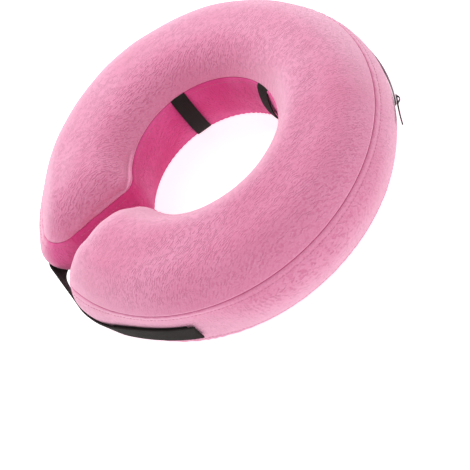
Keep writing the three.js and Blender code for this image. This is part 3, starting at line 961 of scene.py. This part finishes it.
def band_piece(name, made):
    """A band's mesh, with the distances across and along it for its weave."""
    points, quads, weave = made
    piece = new_mesh(name, points, quads)
    point_value(piece, "weft", weave[:, 0] / MM)
    point_value(piece, "warp", weave[:, 1] / MM)
    return piece


def along_at(side, turn):
    """The place along the collar at an angle, angle_at the other way round."""
    low, high = corner_angle(side, NEAR), corner_angle(side, FAR)
    return mix(CORNER, 1 - CORNER, (turn - low) / (high - low))


LOOP_STEPS = 60
TUCK_DEPTH, TUCK_REACH = 1.6 * MM, 0.03  # how deep a loop's ends go in, and over which share of it


def build_loops():
    """Webbing loops down the inner wall: off it by the gap, slack * arch(down) and half the
    thickness, less tuck * exp(-share / reach) at each end, where they go into the seams."""
    webs = group("webbing")
    down = np.linspace(0.0, 1.0, LOOP_STEPS)
    lift = webs.gap + webs.loop_slack * arch(down) + webs.loop_thickness / 2
    tuck = TUCK_DEPTH * (np.exp(-down / TUCK_REACH) + np.exp(-(1 - down) / TUCK_REACH))
    for number, turn in enumerate(webs.loop_at):
        along = np.full_like(down, along_at(NECK, turn))
        point = wall(NECK, along, down)
        out = np.pad(plan_normal(NECK, along), ((0, 0), (0, 1)))
        run = unit(np.gradient(point, axis=0))
        cross = unit(np.cross(run, out))
        out = unit(np.cross(cross, run))
        middle = point + out * (lift - tuck)[:, None]
        made = band((middle, cross, out), webs.loop_width, webs.loop_thickness)
        piece = band_piece(f"webbing_loop_{number + 1}", made)
        dress(piece, webbing(), "webbing", f"neck_loop_{number + 1}")


def off_rim(turn, z, out):
    """A point off the outer wall: radius rim - inset * down + swell * arch(down) + out at this
    angle."""
    top, foot = heights(RIM)
    down = (top - z) / (top - foot)
    swell = rim_swell(np.where(turn < 0, turn + TURN, turn))
    radius = group("ring").rim_radius - group("ring").inset_rim * down + swell * arch(down) + out
    return np.stack(np.broadcast_arrays(radius * np.sin(turn), -radius * np.cos(turn), z), -1)


def rim_band(start, stop, thickness, lift_at, count):
    """A band round the outer wall at the strap's height, which drops towards the split by drop * (1
    - ease(turn / pressed at)). Across the split it runs straight between the walls' two points."""
    webs, ring = group("webbing"), group("ring")
    turn = np.linspace(start, stop, count)
    leave = corner_angle(RIM, FAR) - TURN + webs.span_start
    meet = corner_angle(RIM, NEAR) - webs.span_start
    across = np.clip((turn - leave) / (meet - leave), 0, 1)
    out = lift_at(turn) + thickness / 2

    def at(up):
        drop = webs.strap_drop * (1 - ease(turn / ring.pressed_at))
        foot = ring.rise_rim + webs.strap_foot - drop
        z = foot + webs.strap_width * up
        level = mix(z, foot + webs.strap_width, crown(across))
        ends = [off_rim(np.full_like(turn, end), level, out) for end in (leave, meet)]
        straight = mix(*ends, across[:, None])
        spanning = ((across > 0) & (across < 1))[:, None]
        point = np.where(spanning, straight, off_rim(turn, level, out))
        point[:, 2] = z
        return point

    cross = unit(at(1.0) - at(0.0))
    middle = (at(0.0) + at(0.5) + at(1.0)) / 3
    run = unit(np.gradient(middle, axis=0))
    out_of = unit(np.cross(run, cross))
    cross = unit(np.cross(out_of, run))
    return band((middle, cross, out_of), webs.strap_width, thickness)


STRAP_STEPS, GRIP_STEPS = 220, 80


def build_closure():
    """The closure strap and the grip band that it is stuck to. The strap rises onto the band by
    ease(turn's share of the climb)."""
    webs = group("webbing")

    def climb(turn):
        share = (turn - webs.band_from) / webs.climb + 1
        return webs.gap + (webs.band_thickness + webs.gap) * ease(share)

    strap = band_piece(
        "closure_webbing",
        rim_band(webs.strap_from, webs.strap_to, webs.strap_thickness, climb, STRAP_STEPS),
    )
    dress(strap, webbing(), "webbing", "closure_strap")
    grip = band_piece(
        "grip_loop_band",
        rim_band(webs.band_from, webs.band_to, webs.band_thickness, lambda t: webs.gap, GRIP_STEPS),
    )
    dress(grip, webbing(), "webbing", "grip_band")


# The zip

def zip_frames(turn, out):
    """A path along the zip, off the outer wall by this much: its middle, its upward and its outward
    unit vectors."""
    sizes = group("zip")
    z = heights(RIM)[0] - sizes.below
    middle = off_rim(turn, z, out)
    run = unit(np.gradient(middle, axis=0))
    rise = unit(off_rim(turn, z + MM, out) - off_rim(turn, z - MM, out))
    return middle, rise, unit(np.cross(run, rise))


TAPE_STEPS, TAPE_THICKNESS = 160, 0.6 * MM
TOOTH_OUT, TOOTH_HALF, TOOTH_LIFT, TOOTH_RADIUS = 0.7 * MM, 1.1 * MM, 0.45 * MM, 0.5 * MM


def build_zip():
    """The zip's tape, a band, and its coil, a row of small tubes over the middle."""
    sizes, gap = group("zip"), group("webbing").gap
    turn = np.linspace(sizes.start, sizes.stop, TAPE_STEPS)
    frames = zip_frames(turn, gap + TAPE_THICKNESS / 2)
    tape = band_piece("zip_tape", band(frames, sizes.width, TAPE_THICKNESS))
    dress(tape, zip_cloth(), "zip_tape", "zip")
    reach = group("ring").rim_radius * (sizes.stop - sizes.start)
    teeth = np.linspace(sizes.start, sizes.stop, int(reach / sizes.coil_pitch))
    middle, rise, out = zip_frames(teeth, gap + TOOTH_OUT)
    half = rise * TOOTH_HALF
    points, quads = tubes(middle - half, middle + half, out * TOOTH_LIFT, TOOTH_RADIUS)
    coil = new_mesh("zip_coil", points, facing_out(points, quads))
    dress(coil, zip_cloth(), "zip_tape")


PLATE_STEPS, BRIDGE_STEPS, PULL_STEPS = (48, 15), 24, 60
PLATE_THICKNESS, PLATE_CORNER, PLATE_WAIST = 1.5 * MM, 0.6, 0.22
BRIDGE_SHARE, BRIDGE_FOOT, BRIDGE_RISE = 0.8, 0.9 * MM, 2.2 * MM
BRIDGE_WIDTH, BRIDGE_THICKNESS = 2.2 * MM, 0.9 * MM
NEARBY = 0.01  # radians, over which the slider's direction is taken


def slider_plate():
    """The slider's plate in its own axes: x = l/2 cos^e u, y = w/2 sin^e u with a waist in the
    middle of its ends, both times (1 - |v|^5)^(1/5), and z from 0 to its thickness as v runs from
    -1 to 1."""
    sizes, (around, high) = group("zip"), PLATE_STEPS
    turn = np.linspace(0, TURN, around, endpoint=False)
    u, v = np.meshgrid(turn, np.linspace(-1, 1, high), indexing="ij")
    waist = 1 - PLATE_WAIST * np.cos(u) ** 2 * (1 - np.abs(np.sin(u)))
    edge = (1 - np.abs(v) ** 5) ** 0.2
    x = squared_off(np.cos(u), PLATE_CORNER) * sizes.slider_length / 2 * edge
    y = squared_off(np.sin(u), PLATE_CORNER) * sizes.slider_width / 2 * edge * waist
    points = np.stack([x, y, (v + 1) / 2 * PLATE_THICKNESS], -1).reshape(-1, 3)
    index = np.arange(around * high).reshape(around, high)
    after = np.roll(index, -1, axis=0)
    quads = np.stack([index[:, :-1], after[:, :-1], after[:, 1:], index[:, 1:]], -1).reshape(-1, 4)
    return points, facing_out(points, quads)


def build_slider():
    """The slider, a plate with a bridge over it that is a band along x, foot + rise * sin^e(pi s),
    and the ribbon through the bridge, a band that lifts off the wall by lift * s^2 to its tip."""
    sizes, gap, rim = group("zip"), group("webbing").gap, group("ring").rim_radius
    at = sizes.start + sizes.slider_length / 2 / rim
    turn = np.array([at - NEARBY, at, at + NEARBY])
    middle, rise, out = (each[1] for each in zip_frames(turn, 2 * gap + sizes.thickness))
    place = np.stack([np.cross(rise, out), rise, out])
    plate, plate_quads = slider_plate()
    s = np.linspace(0, 1, BRIDGE_STEPS)
    x = (s - 0.5) * BRIDGE_SHARE * sizes.slider_length
    z = BRIDGE_FOOT + BRIDGE_RISE * np.sin(math.pi * s) ** PLATE_CORNER
    path = np.stack([x, 0 * s, z], -1) @ place + middle
    bend = unit(np.gradient(path, axis=0))
    side = np.repeat(rise[None], BRIDGE_STEPS, 0)
    frames = path, side, unit(np.cross(bend, side))
    bridge, bridge_quads, _ = band(frames, BRIDGE_WIDTH, BRIDGE_THICKNESS, PLATE_CORNER, 6)
    parts = joined([(plate @ place + middle, plate_quads), (bridge, bridge_quads)])
    dress(new_mesh("zip_slider_body", *parts), metal(), "slider_metal", "zip_slider")
    start = at - (sizes.slider_length / 2 + gap) / rim
    stop = start - sizes.pull_length / rim
    share = np.linspace(0, 1, PULL_STEPS)
    lift = 2 * gap + sizes.thickness + sizes.pull_lift * share**2 + sizes.pull_thickness / 2
    frames = zip_frames(mix(start, stop, share), lift)
    pull = band_piece("zip_ribbon", band(frames, sizes.pull_width, sizes.pull_thickness, 0.4))
    dress(pull, webbing(), "webbing", "zip_pull")


# Materials

class Wire:
    """A socket whose arithmetic adds Math nodes."""

    def __init__(self, shader, socket):
        self.shader, self.socket = shader, socket

    def __add__(self, other):
        return self.shader.math("ADD", self, other)

    __radd__ = __add__

    def __mul__(self, other):
        return self.shader.math("MULTIPLY", self, other)

    __rmul__ = __mul__

    def __sub__(self, other):
        return self.shader.math("SUBTRACT", self, other)

    def __rsub__(self, other):
        return self.shader.math("SUBTRACT", other, self)


FUZZ_MOST = 0.3  # the share of the fuzz where the cloth is seen edge on
RIDGE_PITCH = 1.7 * MM  # between the ridges of the pile
RIDGE_RUN = (1, 0.12, 0.25)  # across the ridges
RIDGE_BEND, RIDGE_CURL = 14, 7  # radians of phase that the coarse and the fine noise move them by
# Painted shade in the seams and in the valleys between the pile's ridges.
SEAM_PAINTED_SHADE, VALLEY_PAINTED_SHADE = 0.8, 0.36  # how far the colour goes to its deepest there
PILE_DEPTH = 0.45 * MM
WEFT_PITCH, WARP_PITCH = 1.6, 1.3  # between the webbing's threads, in millimetres


class Shader:
    """A material under construction."""

    def __init__(self, name):
        self.material = bpy.data.materials.new(name)
        self.material.use_nodes = True
        self.tree = self.material.node_tree
        self.tree.nodes.clear()

    def node(self, kind, settings=None, out=0, **sockets):
        """A node of a type, its settings first, then the values or links of its sockets by name. A
        socket's name has its spaces written as underscores, or is i and its number."""
        made = self.tree.nodes.new("ShaderNode" + kind)
        for key, value in (settings or {}).items():
            setattr(made, key, value)
        for key, value in sockets.items():
            number = key[1:].isdigit() and key[0] == "i"
            socket = made.inputs[int(key[1:])] if number else made.inputs[key.replace("_", " ")]
            self.put(socket, value)
        return Wire(self, made.outputs[out])

    def put(self, socket, value):
        """Links a socket, or gives it a value."""
        if isinstance(value, Wire):
            self.tree.links.new(value.socket, socket)
        elif socket.type == "RGBA" and len(value) == 3:
            socket.default_value = (*value, 1)
        else:
            socket.default_value = value

    def math(self, operation, *values):
        """A Math node of these values."""
        inputs = {f"i{k}": value for k, value in enumerate(values)}
        return self.node("Math", {"operation": operation}, **inputs)

    def sin(self, value):
        return self.math("SINE", value)

    def smooth(self, value, low, high):
        """0 below low, 1 above high, smooth between."""
        settings = {"interpolation_type": "SMOOTHSTEP"}
        return self.node("MapRange", settings, Value=value, From_Min=low, From_Max=high)

    def blend(self, share, first, second):
        """A colour between two, each a socket or a colour."""
        first, second = (
            each if isinstance(each, Wire) else tuple(each) for each in (first, second)
        )
        return self.node("Mix", {"data_type": "RGBA"}, 2, i0=share, i6=first, i7=second)

    def value(self, name):
        """A point's number by name."""
        return self.node("Attribute", {"attribute_name": name}, 2)

    def place(self, *scale):
        """Object coordinates times a scale for each axis, in features per metre."""
        where = self.node("TexCoord", None, 3)
        return self.node("Mapping", None, Vector=where, Scale=scale)

    def noise(self, *scale, detail=2.0, roughness=0.5):
        """Noise with this many features per metre, along each axis where there are three
        numbers."""
        vector = self.place(*(scale * 3)[:3])
        return self.node(
            "TexNoise", None, Vector=vector, Scale=1.0, Detail=detail, Roughness=roughness
        )

    def finish(self, height=None, distance=MM, strength=1.0, fuzz=None, **sockets):
        """The surface: a Principled shader, with a bump of this height. Fuzz is the colour and the
        share of upright fibres, which show as the surface turns from the eye, as they do on
        velvet."""
        if height is not None:
            sockets["Normal"] = self.node(
                "Bump", None, Strength=strength, Distance=distance, Height=height
            )
        surface = self.node("BsdfPrincipled", None, **sockets)
        if fuzz is not None:
            fibres = self.node(
                "BsdfPrincipled", None, Base_Color=tuple(fuzz[0]), Roughness=1.0,
                Specular_IOR_Level=0.0,
            )
            turned = self.smooth(self.node("LayerWeight", None, 1, Blend=0.5), 0.08, 0.82)
            share = FUZZ_MOST * turned * fuzz[1]
            surface = self.node("MixShader", None, i0=share, i1=surface, i2=fibres)
        end = self.tree.nodes.new("ShaderNodeOutputMaterial")
        self.tree.links.new(surface.socket, end.inputs[0])
        return self.material


def kept(make):
    """Makes a material once and returns it again after that."""

    def once():
        name = "collar_" + make.__name__
        return bpy.data.materials.get(name) or make(name)

    return once


@kept
def plush(name):
    """Short crushed pile: fine ridges across the cloth's run, a sine whose phase two noises bend
    and whose height a third breaks up. They are clearer in some patches, fainter beside the seams,
    with a fine grain over them; painted shade darkens the valleys between the ridges and makes a
    dark line in the seams. On the inner and end walls, and round the first half of the far corner,
    painted shade makes it deeper."""
    tint = group("colours")
    s = Shader(name)
    run = {"i0": s.place(1, 1, 1), "i1": RIDGE_RUN}
    over = s.node("VectorMath", {"operation": "DOT_PRODUCT"}, 1, **run)
    coarse, fine = s.noise(170, 90, 170, detail=1), s.noise(420, 260, 420, detail=0)
    bend = RIDGE_BEND * coarse + RIDGE_CURL * fine
    broken = s.smooth(s.noise(380, 230, 380, detail=1), 0.4, 0.58)
    patches = s.noise(18, 14, 18)
    grain = s.noise(1300, 700, 1300, detail=1)
    edge, inner = s.value("edge"), s.value("inner")
    seam = 1 - s.smooth(edge, 0.1, 0.7)
    strong = (0.65 + 0.35 * s.smooth(patches, 0.3, 0.6)) * (0.4 + 0.6 * s.smooth(edge, 2, 16))
    wave = s.smooth(s.sin(over * (TURN / RIDGE_PITCH) + bend), -1, 0.5)
    valley = strong * (0.25 + 0.75 * broken) * (1 - wave)
    light = s.smooth(0.5 * patches + 0.5 * grain, 0.3, 0.7)
    open_side = s.blend(light, tint.plush, tint.plush_light)
    # Painted shade: the inner and end walls and the far corner take these deeper colours.
    painted_shade_side = s.blend(s.smooth(patches, 0.3, 0.7), tint.plush_inner, tint.inner_light)
    flat = s.blend(inner, open_side, painted_shade_side)
    # Painted shade: the seams and the pile's valleys go towards the deepest colour.
    dark = s.math("MAXIMUM", SEAM_PAINTED_SHADE * seam, VALLEY_PAINTED_SHADE * valley)
    colour = s.blend(dark, flat, tint.plush_deep)
    return s.finish(
        0.25 * grain - valley, PILE_DEPTH, 1.0, (tint.fuzz, 1 - inner),
        Base_Color=colour, Roughness=0.9, Sheen_Weight=0.15, Sheen_Roughness=0.5,
        Sheen_Tint=(1.0, 0.97, 0.99), Specular_IOR_Level=0.2,
    )


@kept
def webbing(name):
    """Webbing: ribs across it in two offset rows, a fine twist in each, paler where worn."""
    tint = group("colours")
    s = Shader(name)
    weft, warp = s.value("weft"), s.value("warp")
    row = s.sin(weft * (TURN / WEFT_PITCH))
    ribs = s.sin(warp * (TURN / WARP_PITCH) + row * 1.4)
    worn = s.smooth(0.5 * ribs + s.noise(60, detail=3), 0.35, 1.1)
    colour = s.blend(worn, tint.webbing, tint.webbing_light)
    height = 0.5 * ribs + 0.3 * row + 0.4 * s.noise(1800)
    return s.finish(
        height, 0.15 * MM, 0.9, Base_Color=colour, Roughness=0.9, Specular_IOR_Level=0.2
    )


@kept
def thread(name):
    """Twisted thread."""
    tint = group("colours")
    s = Shader(name)
    grain = s.noise(2600)
    colour = s.blend(s.smooth(grain, 0.35, 0.7), tint.thread, tint.plush)
    return s.finish(grain, 0.1 * MM, 0.6, Base_Color=colour, Roughness=0.7, Sheen_Weight=0.3)


@kept
def zip_cloth(name):
    """The zip's woven tape and nylon coil."""
    tint = group("colours")
    s = Shader(name)
    grain = s.noise(1400)
    shade = s.blend(s.smooth(grain, 0.3, 0.75), tint.zip_tape, (0.55 * c for c in tint.zip_tape))
    return s.finish(grain, 0.1 * MM, 0.5, Base_Color=shade, Roughness=0.55)


@kept
def metal(name):
    """Dark painted metal with a faint orange peel and scuffs."""
    tint = group("colours")
    s = Shader(name)
    peel = s.noise(900)
    scuff = s.smooth(s.noise(400, detail=4, roughness=0.7), 0.58, 0.7)
    shade = s.blend(0.5 * scuff, tint.metal, (4 * c for c in tint.metal))
    rough = 0.32 + 0.2 * scuff
    return s.finish(peel, 0.05 * MM, 0.3, Base_Color=shade, Roughness=rough, Metallic=0.85)


@kept
def floor_paint(name):
    """Smooth pale floor."""
    tint = group("colours")
    s = Shader(name)
    shade = s.blend(s.noise(2), tint.floor, (0.98 * c for c in tint.floor))
    return s.finish(
        None, Base_Color=shade, Roughness=0.9, Specular_IOR_Level=0.1,
        Emission_Color=(1, 1, 1), Emission_Strength=0.6,
    )


# The stage: the floor, the lights and the camera

CAMERA_AZIMUTH = math.radians(91.62)
CAMERA_RISE = math.radians(46.76)
CAMERA_ROLL = math.radians(41.62)
CAMERA_AIM = (0, 0, 47.9 * MM)
CAMERA_FROM = (-24.05 * MM, 67.5 * MM, -1428.6 * MM)  # the aim from the camera: right, up and back
FOCUS_PIXELS = 1616  # the focal length, where the frame is FRAME_PIXELS wide
FRAME_PIXELS = 470
SENSOR = 36.0
FLOOR_SIZE, FLOOR_DROP = 6.0, 0.4 * MM
WORLD_LIGHT = 0.78
# Each lamp's direction, its distance and size in metres, and its power in watts
LAMPS = {
    "key": ((-0.62, -0.08, 0.78), 2.2, 1.0, 30),
    "front": ((0.62, 0.02, 0.74), 2.4, 1.4, 7),
}


def camera_axes():
    """Right, up and back of the camera: its azimuth from the split, its rise and its roll."""
    away = np.array([math.sin(CAMERA_AZIMUTH), -math.cos(CAMERA_AZIMUTH), 0])
    behind = math.cos(CAMERA_RISE) * away + np.array([0, 0, math.sin(CAMERA_RISE)])
    level = np.array([-away[1], away[0], 0])
    over = np.cross(behind, level)
    right = math.cos(CAMERA_ROLL) * level - math.sin(CAMERA_ROLL) * over
    up = math.sin(CAMERA_ROLL) * level + math.cos(CAMERA_ROLL) * over
    return right, up, behind


def build_stage():
    """A pale floor, a soft key light and a front light under a white sky, and the camera."""
    scene = bpy.context.scene
    corners = np.array([[-1, -1, 0], [1, -1, 0], [1, 1, 0], [-1, 1, 0]]) * FLOOR_SIZE / 2
    ground = new_mesh("floor", corners - [0, 0, FLOOR_DROP], np.array([[0, 1, 2, 3]]))
    ground.data.materials.append(floor_paint())
    right, up, behind = camera_axes()
    x, y, z = CAMERA_FROM
    lens = bpy.data.cameras.new("camera")
    lens.sensor_width = SENSOR
    lens.lens = FOCUS_PIXELS / FRAME_PIXELS * SENSOR
    lens.clip_start, lens.clip_end = 0.01, 50
    camera = bpy.data.objects.new("camera", lens)
    place = np.eye(4)
    place[:3, 0], place[:3, 1], place[:3, 2] = right, up, behind
    place[:3, 3] = CAMERA_AIM - x * right - y * up - z * behind
    camera.matrix_world = Matrix(place.tolist())
    scene.collection.objects.link(camera)
    scene.camera = camera

    def lamp(name, towards, distance, size, power):
        light = bpy.data.lights.new(name, "AREA")
        light.shape, light.size, light.energy = "DISK", size, power
        one = bpy.data.objects.new(name, light)
        away = unit(np.array(towards, float))
        one.location = Vector(away * distance)
        one.rotation_euler = Vector(away).to_track_quat("Z", "Y").to_euler()
        scene.collection.objects.link(one)

    for name, settings in LAMPS.items():
        lamp(name, *settings)
    world = bpy.data.worlds.new("studio")
    scene.world = world
    world.use_nodes = True
    sky = world.node_tree.nodes["Background"]
    sky.inputs["Color"].default_value = (1, 1, 1, 1)
    sky.inputs["Strength"].default_value = WORLD_LIGHT
    scene.view_settings.view_transform = "Standard"
    scene.view_settings.look = "None"


# The add-on

class COLLAR_OT_cover(bpy.types.Operator):
    """Build the plush cover"""

    bl_idname = "collar.cover"
    bl_label = "Plush Cover"

    def execute(self, context):
        build_cover()
        return {"FINISHED"}


class COLLAR_OT_stitches(bpy.types.Operator):
    """Sew the top stitches beside the cover's seams"""

    bl_idname = "collar.stitches"
    bl_label = "Top Stitches"

    def execute(self, context):
        build_stitches()
        return {"FINISHED"}


class COLLAR_OT_loops(bpy.types.Operator):
    """Build the webbing loops in the neck"""

    bl_idname = "collar.loops"
    bl_label = "Neck Loops"

    def execute(self, context):
        build_loops()
        return {"FINISHED"}


class COLLAR_OT_closure(bpy.types.Operator):
    """Build the closure strap and its grip band"""

    bl_idname = "collar.closure"
    bl_label = "Closure Strap"

    def execute(self, context):
        build_closure()
        return {"FINISHED"}


class COLLAR_OT_zip(bpy.types.Operator):
    """Build the zip's tape and coil"""

    bl_idname = "collar.zip"
    bl_label = "Zip"

    def execute(self, context):
        build_zip()
        return {"FINISHED"}


class COLLAR_OT_slider(bpy.types.Operator):
    """Build the zip's slider and its ribbon pull"""

    bl_idname = "collar.slider"
    bl_label = "Zip Slider"

    def execute(self, context):
        build_slider()
        return {"FINISHED"}


class COLLAR_OT_stage(bpy.types.Operator):
    """Set up the floor, the lights and the camera"""

    bl_idname = "collar.stage"
    bl_label = "Stage"

    def execute(self, context):
        build_stage()
        return {"FINISHED"}


OPERATORS = (
    COLLAR_OT_stage,
    COLLAR_OT_cover,
    COLLAR_OT_stitches,
    COLLAR_OT_loops,
    COLLAR_OT_closure,
    COLLAR_OT_zip,
    COLLAR_OT_slider,
)
GROUPS = {
    "ring": RingSizes,
    "cloth": ClothSizes,
    "webbing": WebbingSizes,
    "zip": ZipSizes,
    "colours": CollarColours,
}


class COLLAR_PT_sidebar(bpy.types.Panel):
    """The collar's pieces and sizes"""

    bl_idname = "COLLAR_PT_sidebar"
    bl_label = "Recovery Collar"
    bl_space_type = "VIEW_3D"
    bl_region_type = "UI"
    bl_category = "Collar"

    def draw(self, context):
        for operator in OPERATORS:
            self.layout.operator(operator.bl_idname)
        for name in GROUPS:
            box = self.layout.box()
            box.label(text=name.capitalize())
            for prop in GROUPS[name].__annotations__:
                box.prop(group(name), prop)


def register():
    for each in (*GROUPS.values(), *OPERATORS, COLLAR_PT_sidebar):
        bpy.utils.register_class(each)
    for name, kind in GROUPS.items():
        setattr(bpy.types.Scene, "collar_" + name, bpy.props.PointerProperty(type=kind))


def unregister():
    for name in GROUPS:
        delattr(bpy.types.Scene, "collar_" + name)
    for each in reversed((*GROUPS.values(), *OPERATORS, COLLAR_PT_sidebar)):
        bpy.utils.unregister_class(each)


def main():
    """Builds the stage and every piece."""
    register()
    for operator in OPERATORS:
        getattr(bpy.ops.collar, operator.bl_idname.split(".")[1])()


if __name__ == "__main__":
    main()
